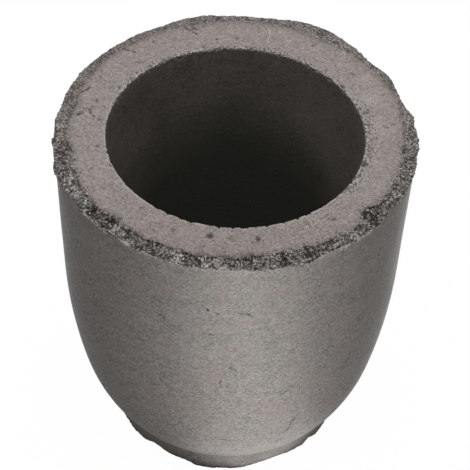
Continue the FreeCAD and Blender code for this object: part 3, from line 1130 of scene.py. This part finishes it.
class Finish:
    """One finish, built up from textures on a Principled surface."""

    def __init__(self, name):
        self.material = bpy.data.materials.new(name)
        self.material.use_nodes = True
        self.nodes = self.material.node_tree.nodes
        self.links = self.material.node_tree.links
        self.surface = self.nodes["Principled BSDF"]
        self.place = self.nodes.new("ShaderNodeTexCoord").outputs["Object"]

    def put(self, socket, value):
        """Links another node's output to the socket, or sets its plain value."""
        if isinstance(value, bpy.types.NodeSocket):
            self.links.new(value, socket)
        else:
            socket.default_value = value

    def node(self, kind, inputs, **settings):
        """A new node with its settings made and its inputs linked or set."""
        made = self.nodes.new("ShaderNode" + kind)
        for name, value in settings.items():
            setattr(made, name, value)
        for name, value in inputs.items():
            self.put(made.inputs[name], value)
        return made

    def axes(self):
        """The place's X, Y and Z."""
        return self.node("SeparateXYZ", {"Vector": self.place}).outputs

    def stretched(self, across):
        """Coordinates squeezed sideways, so that a texture runs longer that way."""
        return self.node("Mapping", {"Vector": self.place, "Scale": (across, across, 1.0)}).outputs["Vector"]

    def noise(self, size, detail, roughness, place=None):
        """Soft noise with clouds about that size in metres."""
        inputs = {"Vector": place or self.place, "Scale": 1 / size, "Detail": detail, "Roughness": roughness}
        return self.node("TexNoise", inputs).outputs

    def clouds(self, size, detail=3.0, roughness=0.6, place=None):
        """That noise as one value from 0 to 1."""
        return self.noise(size, detail, roughness, place)["Fac"]

    def scattered(self, size):
        """Points scattered about that size apart in metres."""
        return self.node("TexVoronoi", {"Vector": self.place, "Scale": 1 / size}).outputs

    def cells(self, size):
        """Distance to the nearest of such points."""
        return self.scattered(size)["Distance"]

    def grains(self, size):
        """One chance value from 0 to 1 for each grain of about that size in metres."""
        return self.node("SeparateColor", {"Color": self.scattered(size)["Color"]}).outputs["Red"]

    def vector_math(self, operation, first, second):
        """One step of arithmetic on vectors."""
        return self.node("VectorMath", {0: first, 1: second}, operation=operation).outputs

    def wavy(self, stray, size):
        """Coordinates that stray smoothly to either side."""
        smooth = self.noise(size, 1.0, 0.5)["Color"]
        centred = self.vector_math("SUBTRACT", smooth, (0.5, 0.5, 0.5))["Vector"]
        scaled = self.vector_math("MULTIPLY", centred, (stray * 2, stray * 2, stray * 2))["Vector"]
        return self.vector_math("ADD", self.place, scaled)["Vector"]

    def blob(self, place, centre, size):
        """1 at the centre, falling to 0 at the size."""
        return self.fading(self.vector_math("DISTANCE", place, centre)["Value"], 0.0, size)

    def streak(self, place, start, end, width):
        """1 along the line from start to end, falling to 0 at the width on either side."""
        run = end - start
        core = width * 0.3
        offset = self.vector_math("SUBTRACT", place, start)["Vector"]
        along_run = self.vector_math("DOT_PRODUCT", offset, run / run.length_squared)["Value"]
        share = self.range(along_run, 0.0, 1.0)
        nearest = self.node("VectorMath", {0: run, "Scale": share}, operation="SCALE").outputs["Vector"]
        away = self.vector_math("DISTANCE", offset, nearest)["Value"]
        return self.fading(away, core, width)

    def mark(self, name):
        """A value that the mesh carries."""
        return self.node("Attribute", {}, attribute_name=name).outputs["Fac"]

    def range(self, value, low, high, to_low=0.0, to_high=1.0):
        """Carries low to high over to another range, and keeps inside it."""
        inputs = {"Value": value, "From Min": low, "From Max": high, "To Min": to_low, "To Max": to_high}
        return self.node("MapRange", inputs).outputs["Result"]

    def fading(self, value, low, high, strength=1.0):
        """The strength up to low, falling to 0 at high."""
        return self.range(value, low, high, strength, 0.0)

    def cloudy(self, soft_noise, least, most):
        """Soft noise carried over to values between the least and the most."""
        return self.range(soft_noise, CLOUD_LOW, CLOUD_HIGH, least, most)

    def swing(self, soft_noise, amount):
        """Soft noise as a swing by the amount to either side."""
        return self.range(soft_noise, NOISE_LOW, NOISE_HIGH, -amount, amount)

    def speckle(self, size, amount):
        """Grains that differ by up to the amount to either side."""
        return self.range(self.grains(size), 0.0, 1.0, -amount, amount)

    def broken_up(self, grains):
        """A share for each grain, which breaks a mark up."""
        return self.range(grains, 0.1, 0.5, 0.3, 1.0)

    def chain(self, operation, values):
        """The same step of arithmetic from value to value."""
        result = values[0]
        for value in values[1:]:
            result = self.math(operation, result, value)
        return result

    def total(self, *values):
        """The sum of the values."""
        return self.chain("ADD", values)

    def product(self, *values):
        """The product of the values."""
        return self.chain("MULTIPLY", values)

    def most(self, *values):
        """The largest of the values."""
        return self.chain("MAXIMUM", values)

    def math(self, operation, first, second=0.0):
        """One step of arithmetic."""
        return self.node("Math", {0: first, 1: second}, operation=operation).outputs[0]

    def blend(self, share, first, second):
        """The first colour at 0, the second at 1."""
        return self.node("Mix", {"Factor": share, 6: first, 7: second}, data_type="RGBA").outputs[2]

    def between(self, share, first, second):
        """The first plain colour at 0, the second at 1."""
        return self.blend(share, opaque(first), opaque(second))

    def coat(self, tint, second, share):
        """A share of a plain colour over the tint."""
        return self.blend(share, tint, opaque(second))

    def relief(self, height, distance, under=None, strength=1.0):
        """Fine relief, on top of the relief under it."""
        inputs = {"Height": height, "Distance": distance, "Strength": strength}
        if under is not None:
            inputs["Normal"] = under
        return self.node("Bump", inputs).outputs["Normal"]

    def done(self, tint, roughness, normal, metallic=0.0, specular=0.5):
        """Sets the surface and returns the material."""
        self.put(self.surface.inputs["Base Color"], tint)
        self.put(self.surface.inputs["Roughness"], roughness)
        self.put(self.surface.inputs["Normal"], normal)
        self.put(self.surface.inputs["Metallic"], metallic)
        self.surface.inputs["Specular IOR Level"].default_value = specular
        return self.material


def opaque(rgb):
    """A colour with its alpha."""
    return (rgb[0], rgb[1], rgb[2], 1.0)


def grainy_tint(make, finishes):
    """The broken edge: grey grains with painted shade in the hollows and the large bites, and bright flakes
    that are partly paler grains and partly painted highlights, browner where it is worn.
    """
    crisp = make.mark("crisp")
    tone = make.total(
        make.product(make.grains(DUST), finishes.break_dust),
        make.product(make.grains(SAND), finishes.break_sand),
        make.swing(make.clouds(0.6 * MM, 2.0, 0.5), finishes.break_speck),
        make.cloudy(make.clouds(2.6 * MM, 2.0, 0.5), -0.16, 0.14))
    tint = make.between(make.range(tone, *HOLLOW_TONES), finishes.break_dark, finishes.break_middle)
    # Bright flakes: partly paler grains, partly painted highlights.
    tint = make.coat(tint, finishes.break_pale_and_highlight, make.range(tone, *FLAKE_HIGHLIGHT_TONES))
    patches = make.range(make.clouds(1.6 * MM), NOISE_LOW, NOISE_HIGH, -0.3, 0.25)
    rubbed = make.total(make.product(tone, 0.8), patches)
    worn_tint = make.between(rubbed, finishes.break_worn, finishes.break_rubbed)
    tint = make.blend(crisp, worn_tint, tint)
    bite_shade = make.math("SUBTRACT", make.mark("bite_shade"), make.product(tone, 0.75))
    bite_shade = make.range(bite_shade, *BITE_SHADE_TONES, 0.0, finishes.bite_shade_share)
    # Painted shade in the gaps between the grains and in the large bites.
    hollow = make.most(make.product(make.mark("cavity_shade"), crisp, finishes.gap_shade_share), bite_shade)
    return make.coat(tint, finishes.break_dark, hollow)


def on_ring(azimuth, radius, z):
    """The point at that azimuth in degrees, radius and height."""
    angle = math.radians(azimuth)
    return Vector((radius * math.cos(angle), radius * math.sin(angle), z))


def on_wall(shape, azimuth, z):
    """The point of the sound wall at that azimuth in degrees and height."""
    return on_ring(azimuth, float(shape.outer_radius(np.array(z))), z)


def wall_marks(make, shape):
    """The few larger marks on the near side of the wall."""
    place = make.wavy(0.9 * MM, 1.2 * MM)
    depth = 0.0
    for from_azimuth, from_z, to_azimuth, to_z, width in WALL_MARKS:
        start = on_wall(shape, from_azimuth, from_z * MM)
        end = on_wall(shape, to_azimuth, to_z * MM)
        depth = make.most(depth, make.streak(place, start, end, width * MM))
    return depth


def face_marks(make, shape, strokes):
    """Strokes or scratches on the sawn face."""
    place = make.wavy(0.8 * MM, 1.3 * MM)
    depth = 0.0
    for from_azimuth, from_radius, to_azimuth, to_radius, width in strokes:
        start = on_ring(from_azimuth, from_radius * MM, shape.height)
        end = on_ring(to_azimuth, to_radius * MM, shape.height)
        depth = make.most(depth, make.streak(place, start, end, width * MM))
    return depth


def face_patches(make, shape):
    """Soft chalky patches on the sawn face."""
    place = make.wavy(2.2 * MM, 4.0 * MM)
    spread = 0.0
    for azimuth, radius, size in FACE_PATCHES:
        centre = on_ring(azimuth, radius * MM, shape.height)
        spread = make.most(spread, make.blob(place, centre, size * MM))
    return spread


def wall_finish(finishes, shape):
    """Fired graphite wall: dark and satin, with faint clouds, fine specks and small dark flecks."""
    make = Finish("fired_wall")
    fleck_size = 1.7 * MM
    clouds = make.clouds(9 * MM, 5.0)
    specks = make.clouds(0.6 * MM, 3.0, 0.7)
    draws = make.clouds(1.6 * MM, 4.0, 0.6, make.stretched(0.22))
    broken = make.mark("broken")
    where = make.axes()
    height = where["Z"]
    belly = 25 * MM
    upper_wall = 60 * MM
    fleck_top = 65 * MM
    glint_foot = 15 * MM
    glint_top = 50 * MM
    grain = make.total(
        make.swing(specks, finishes.wall_speck),
        make.speckle(SAND, finishes.wall_speckle),
        make.speckle(DUST, finishes.wall_speckle))
    by_height = make.range(height, belly, upper_wall, finishes.belly_grain, finishes.upper_grain)
    dusty = make.total(
        make.cloudy(clouds, finishes.wall_dust_least, finishes.wall_dust_most),
        make.product(grain, by_height),
        make.cloudy(draws, -finishes.wall_draw, finishes.wall_draw))
    tint = make.between(dusty, finishes.wall_dark, finishes.wall_light)
    pink = make.range(make.clouds(6 * MM), *PINK_CLOUDS, 0.0, finishes.pink_share)
    tint = make.coat(tint, finishes.wall_pink, pink)
    flecks = make.product(
        make.fading(make.cells(fleck_size), *FLECK_FADE),
        make.range(make.grains(fleck_size), *FLECK_GRAINS),
        make.range(height, belly, fleck_top, 1.0, 0.5),
        finishes.fleck_share)
    tint = make.coat(tint, finishes.break_dark, flecks)
    scored = make.product(wall_marks(make, shape), make.broken_up(make.grains(0.35 * MM)))
    tint = make.coat(tint, finishes.break_dark, make.product(scored, finishes.mark_share))
    glints = make.product(
        make.range(make.grains(0.33 * MM), *GLINT_GRAINS),
        make.range(height, glint_foot, glint_top, finishes.glint_share, 0.1))
    tint = make.coat(tint, finishes.chalk, glints)
    # Painted shade in the hollows of the foot's chips and side.
    hollows = make.product(make.mark("cavity_shade"), make.fading(height, 6 * MM, 8 * MM, 1.6))
    tint = make.coat(tint, finishes.break_dark, hollows)
    dust_fall = make.range(height, shape.height - 4.0 * MM, shape.height - 1.0 * MM, 0.0, 0.45)
    dust_fall = make.range(make.total(dust_fall, make.grains(DUST)), *DUST_TONES)
    tint = make.coat(tint, finishes.chalk, make.product(dust_fall, finishes.dust_fall_share))
    foot_top = shape.sizes.foot_height
    aside = make.math("ABSOLUTE", where["X"])
    # Painted light on the foot, stronger towards its sides, where the lamps leave it dark.
    rubbed = make.product(
        make.range(aside, 8.0 * MM, 24.0 * MM, 0.25, 1.0),
        make.fading(height, foot_top - 0.3 * MM, foot_top))
    tint = make.coat(tint, finishes.foot_painted_light, rubbed)
    # Painted shade in the crease where the body stands out over the foot.
    from_ledge = make.math("ABSOLUTE", make.math("SUBTRACT", height, foot_top))
    ledge_shade = make.product(
        make.fading(from_ledge, 0.1 * MM, 0.45 * MM, 0.5),
        make.range(clouds, *STAIN_CLOUDS, 0.5, 1.0))
    tint = make.coat(tint, finishes.break_dark, ledge_shade)
    tint = make.blend(broken, tint, grainy_tint(make, finishes))
    roughness = make.most(
        make.cloudy(specks, finishes.wall_smooth, finishes.wall_rough),
        make.product(broken, finishes.break_roughness))
    normal = make.relief(specks, 0.05 * MM)
    normal = make.relief(clouds, 0.4 * MM, normal, 0.5)
    normal = make.relief(make.product(scored, -1.0), 0.2 * MM, normal)
    metallic = make.fading(broken, 0.0, 1.0, finishes.wall_metal)
    make.surface.inputs["Sheen Weight"].default_value = finishes.wall_sheen
    make.surface.inputs["Sheen Roughness"].default_value = finishes.wall_sheen_roughness
    return make.done(tint, roughness, normal, metallic)


def face_finish(finishes, shape):
    """Sawn top face, matt and pinkish grey, with stains, pits and dust, and the broken edge round it."""
    make = Finish("sawn_face")
    pit_size = 1.3 * MM
    near_edge = -42 * MM
    near_bore = -15 * MM
    stains = make.clouds(3.0 * MM, 5.0, 0.65)
    specks = make.clouds(0.75 * MM)
    strewn = make.grains(0.35 * MM)
    crisp = make.mark("crisp")
    tone = make.total(
        make.range(stains, *STAIN_CLOUDS, finishes.face_clean_least, finishes.face_clean_most),
        make.swing(specks, finishes.face_speck),
        make.speckle(SAND, finishes.face_sand),
        make.speckle(DUST, finishes.face_dust),
        make.range(make.axes()["Y"], near_edge, near_bore, -0.10, 0.03))
    tint = make.between(tone, finishes.face_dark, finishes.face_light)
    pits = make.product(
        make.fading(make.cells(pit_size), *PIT_FADE, finishes.pit_share),
        make.range(make.grains(pit_size), *PIT_GRAINS))
    tint = make.coat(tint, finishes.break_dark, pits)
    fray = make.mark("fray")
    shade = make.product(fray, fray, make.range(crisp, 0.0, 1.0, 0.5, 0.1))
    tint = make.coat(tint, finishes.break_worn, shade)
    frayed = make.product(
        make.math("GREATER_THAN", make.product(fray, 0.5), strewn),
        fray,
        make.range(crisp, 0.0, 1.0, 0.2, 0.6))
    tint = make.coat(tint, finishes.break_dark, frayed)
    crumbs = make.grains(CRUMB)
    patchy = make.product(face_patches(make, shape), make.range(crumbs, *CRUMB_TONES), finishes.patch_share)
    scratches = make.product(face_marks(make, shape, FACE_SCRATCHES), finishes.scratch_share)
    dusty = make.product(make.mark("chalk"), make.range(crumbs, *CHALK_TONES))
    tint = make.coat(tint, finishes.chalk, make.most(patchy, scratches, dusty))
    loose = make.grains(0.32 * MM)
    crumbled = make.mark("crumbled")
    bright = make.math("GREATER_THAN", loose, make.range(crumbled, 0.0, 1.0, 1.0, 0.3))
    tint = make.coat(tint, finishes.chalk, make.product(bright, finishes.loose_share))
    # Dark strokes, and painted shade in the larger pits.
    strokes = make.most(face_marks(make, shape, FACE_STROKES), make.mark("cavity_shade"))
    dark = make.most(
        make.product(make.math("LESS_THAN", loose, crumbled), finishes.crumb_share),
        make.product(strokes, make.broken_up(loose), finishes.stroke_share))
    tint = make.coat(tint, finishes.break_dark, dark)
    tint = make.blend(make.mark("broken"), tint, grainy_tint(make, finishes))
    normal = make.relief(specks, 0.06 * MM)
    normal = make.relief(stains, 0.2 * MM, normal, 0.6)
    normal = make.relief(make.product(dark, -1.0), 0.12 * MM, normal)
    roughness = make.cloudy(stains, finishes.face_smooth, finishes.face_rough)
    return make.done(tint, roughness, normal, specular=finishes.face_gloss)


def bore_finish(finishes):
    """Burnt bore: nearly black, with brown dust and fine pale specks, and painted light near the mouth and to
    the right that falls into painted shade deeper down, towards the back and in the middle.
    """
    make = Finish("burnt_bore")
    # Painted shade is full below the first height, and dust with painted light is full above the second. The
    # painted shade reaches higher towards the back and in the middle.
    burnt = 47 * MM
    dust_and_light_from = 67 * MM
    left = -10 * MM
    right = 30 * MM
    clouds = make.clouds(12 * MM, 4.0, 0.55)
    specks = make.clouds(0.9 * MM)
    draws = make.clouds(5.0 * MM, 4.0, 0.6, make.stretched(0.35))
    where = make.axes()
    middle = make.math("ABSOLUTE", where["X"])
    painted_light_level = make.math("SUBTRACT", where["Z"], make.product(where["Y"], 0.5))
    painted_light_level = make.math("SUBTRACT", painted_light_level, make.fading(middle, 0.0, 10 * MM, 3.5 * MM))
    # Dust, with painted light near the mouth and to the right, and painted shade deeper down, towards the
    # back and in the middle.
    dusty = make.product(
        make.range(painted_light_level, burnt, dust_and_light_from),
        make.range(where["X"], left, right, 0.92, 1.15),
        make.total(
            make.cloudy(clouds, finishes.bore_dust_least, finishes.bore_dust_most),
            make.swing(specks, finishes.bore_speck),
            make.speckle(0.4 * MM, finishes.bore_grit),
            make.swing(draws, finishes.bore_draw)))
    tint = make.between(dusty, finishes.bore_dark, finishes.bore_mouth_dust_and_light)
    flecks = make.fading(make.cells(2.4 * MM), *BORE_FLECK_FADE, finishes.bore_fleck_share)
    tint = make.coat(tint, finishes.face_dark, flecks)
    crumbs = make.range(make.grains(CRUMB), *CRUMB_TONES)
    chalky = make.product(make.mark("chalk"), crumbs, finishes.bore_chalk_share)
    tint = make.coat(tint, finishes.chalk, chalky)
    normal = make.relief(specks, 0.10 * MM)
    roughness = make.cloudy(clouds, finishes.bore_smooth, finishes.bore_rough)
    return make.done(tint, roughness, normal, specular=finishes.bore_gloss)


def floor_finish():
    """Pale floor that looks white to the eye and keeps the crucible's shadow."""
    make = Finish("pale_floor")
    make.surface.inputs["Roughness"].default_value = 0.9
    make.surface.inputs["Specular IOR Level"].default_value = 0.1
    looked_at = make.node("LightPath", {}).outputs["Is Camera Ray"]
    make.put(make.surface.inputs["Base Color"], make.blend(looked_at, FLOOR_TO_LIGHT, FLOOR_TO_EYE))
    glow = make.node("Emission", {}).outputs["Emission"]
    share = make.product(looked_at, FLOOR_GLOW)
    mix = make.node("MixShader", {"Fac": share, 1: make.surface.outputs["BSDF"], 2: glow})
    make.links.new(mix.outputs["Shader"], make.nodes["Material Output"].inputs["Surface"])
    return make.material


# The operators


def aim(thing, target):
    """Turns a lamp or camera to look at the target."""
    thing.rotation_mode = "QUATERNION"
    thing.rotation_quaternion = (target - thing.location).to_track_quat("-Z", "Y")


def area_lamp(name, location, target, width, height, power):
    """A soft rectangular lamp."""
    data = bpy.data.lights.new(name, "AREA")
    data.shape = "RECTANGLE"
    data.size = width
    data.size_y = height
    data.energy = power
    lamp = bpy.data.objects.new(name, data)
    bpy.context.scene.collection.objects.link(lamp)
    lamp.location = location
    aim(lamp, target)
    return lamp


class CRUCIBLE_OT_body(bpy.types.Operator):
    """Make the crucible with its broken rim and chipped foot"""

    bl_idname = "crucible.body"
    bl_label = "Crucible"

    def execute(self, context):
        scene = context.scene
        low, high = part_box("crucible")
        shape = Shape(scene.crucible_sizes, scene.crucible_edges, high.z)
        surface = Surface(shape, scene.crucible_grains)
        surface.keep_inside(low, high)
        if len(surface.faces) >= TRIANGLE_LIMIT:
            raise RuntimeError("the crucible has too many triangles: %d" % len(surface.faces))
        print("crucible triangles", len(surface.faces))
        finishes = scene.crucible_finishes
        made = [wall_finish(finishes, shape), face_finish(finishes, shape), bore_finish(finishes)]
        piece = make_mesh(surface, "crucible_dressed", made)
        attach(piece, "root")
        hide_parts("crucible")
        return {"FINISHED"}


class CRUCIBLE_OT_stage(bpy.types.Operator):
    """Make the floor, the lamps, the background and the camera"""

    bl_idname = "crucible.stage"
    bl_label = "Studio stage"

    def execute(self, context):
        scene = context.scene
        stage = scene.crucible_stage
        low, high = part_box("crucible")
        self.make_camera(scene, stage, high.z)
        self.make_floor(stage, low.z)
        self.make_lamps(stage, high.z)
        self.make_world(scene, stage)
        scene.view_settings.view_transform = "Standard"
        return {"FINISHED"}

    def make_camera(self, scene, stage, top):
        """The camera, at the picture's own viewing angle."""
        data = bpy.data.cameras.new("camera")
        data.lens = stage.focal_length
        data.sensor_width = 36.0
        data.clip_start = 0.01
        camera = bpy.data.objects.new("camera", data)
        scene.collection.objects.link(camera)
        camera.location = (0.0, -stage.camera_back, top + stage.camera_rise)
        aim(camera, Vector((stage.aim_right, 0.0, top - stage.aim_drop)))
        camera.rotation_quaternion @= Quaternion((0.0, 0.0, 1.0), stage.camera_roll)
        scene.camera = camera

    def make_floor(self, stage, level):
        """A wide round floor."""
        sides = 96
        points = [on_ring(FULL_TURN * side / sides, stage.floor_radius, level) for side in range(sides)]
        mesh = bpy.data.meshes.new("floor")
        mesh.from_pydata(points, [], [list(range(sides))])
        mesh.materials.append(floor_finish())
        floor = bpy.data.objects.new("floor", mesh)
        bpy.context.scene.collection.objects.link(floor)

    def make_lamps(self, stage, top):
        """Two low lamps that lie in front, a wide one overhead and a weak one behind."""
        middle = Vector((0.0, 0.0, top / 2))
        self.make_low_lamp(
            "low_lamp", stage, stage.strip_azimuth, stage.strip_near, stage.strip_length, stage.strip_width,
            stage.strip_power)
        self.make_low_lamp(
            "apron_lamp", stage, stage.apron_azimuth, stage.apron_near, stage.strip_near - stage.apron_near,
            stage.apron_width, stage.apron_power)
        above = middle + Vector((0.0, 0.0, stage.top_distance))
        area_lamp("top_lamp", above, middle, stage.top_width, stage.top_width, stage.top_power)
        turned = stage.back_azimuth
        behind = middle + Vector((math.cos(turned), math.sin(turned), 0.0)) * stage.back_distance
        back = area_lamp("back_lamp", behind, middle, stage.back_width, stage.back_height, stage.back_power)
        back.visible_camera = False

    def make_low_lamp(self, name, stage, turn_right, near, run, width, power):
        """A lamp that lies just over the floor in front and shines up, unseen by the camera."""
        out = near + run / 2
        place = Vector((math.sin(turn_right) * out, -math.cos(turn_right) * out, stage.strip_level))
        lamp = area_lamp(name, place, place + Vector((0.0, 0.0, 1.0)), width, run, power)
        lamp.rotation_mode = "XYZ"
        lamp.rotation_euler = (math.pi, 0.0, turn_right)
        lamp.visible_camera = False

    def make_world(self, scene, stage):
        """Even light from all round, behind a background that is seen as white."""
        world = bpy.data.worlds.new("studio")
        world.use_nodes = True
        nodes = world.node_tree.nodes
        links = world.node_tree.links
        even = nodes["Background"]
        even.inputs["Color"].default_value = WHITE
        even.inputs["Strength"].default_value = stage.ambient
        seen = nodes.new("ShaderNodeBackground")
        seen.inputs["Color"].default_value = WHITE
        seen.inputs["Strength"].default_value = 1.0
        path = nodes.new("ShaderNodeLightPath")
        mix = nodes.new("ShaderNodeMixShader")
        links.new(path.outputs["Is Camera Ray"], mix.inputs["Fac"])
        links.new(even.outputs["Background"], mix.inputs[1])
        links.new(seen.outputs["Background"], mix.inputs[2])
        links.new(mix.outputs["Shader"], nodes["World Output"].inputs["Surface"])
        scene.world = world


class CRUCIBLE_PT_panel(bpy.types.Panel):
    """Lists the operators and what they use"""

    bl_idname = "CRUCIBLE_PT_panel"
    bl_label = "Crucible"
    bl_space_type = "VIEW_3D"
    bl_region_type = "UI"
    bl_category = "Crucible"

    def draw(self, context):
        layout = self.layout
        for operator in (CRUCIBLE_OT_stage, CRUCIBLE_OT_body):
            layout.operator(operator.bl_idname)
        for group in GROUPS:
            values = getattr(context.scene, group)
            box = layout.box()
            for key in values.bl_rna.properties.keys():
                if key not in ("rna_type", "name"):
                    box.prop(values, key)


GROUPS = {
    "crucible_sizes": CrucibleSizes,
    "crucible_edges": EdgeSizes,
    "crucible_grains": GrainSizes,
    "crucible_finishes": Finishes,
    "crucible_stage": StageSizes,
}
PARTS = (CRUCIBLE_OT_body, CRUCIBLE_OT_stage, CRUCIBLE_PT_panel)


def register():
    for name, group in GROUPS.items():
        bpy.utils.register_class(group)
        setattr(bpy.types.Scene, name, bpy.props.PointerProperty(type=group))
    for part in PARTS:
        bpy.utils.register_class(part)


def unregister():
    for part in reversed(PARTS):
        bpy.utils.unregister_class(part)
    for name, group in reversed(list(GROUPS.items())):
        delattr(bpy.types.Scene, name)
        bpy.utils.unregister_class(group)


def main():
    """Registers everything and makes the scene."""
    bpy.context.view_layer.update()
    register()
    bpy.ops.crucible.stage()
    bpy.ops.crucible.body()
    bpy.context.view_layer.update()


if __name__ == "__main__":
    main()
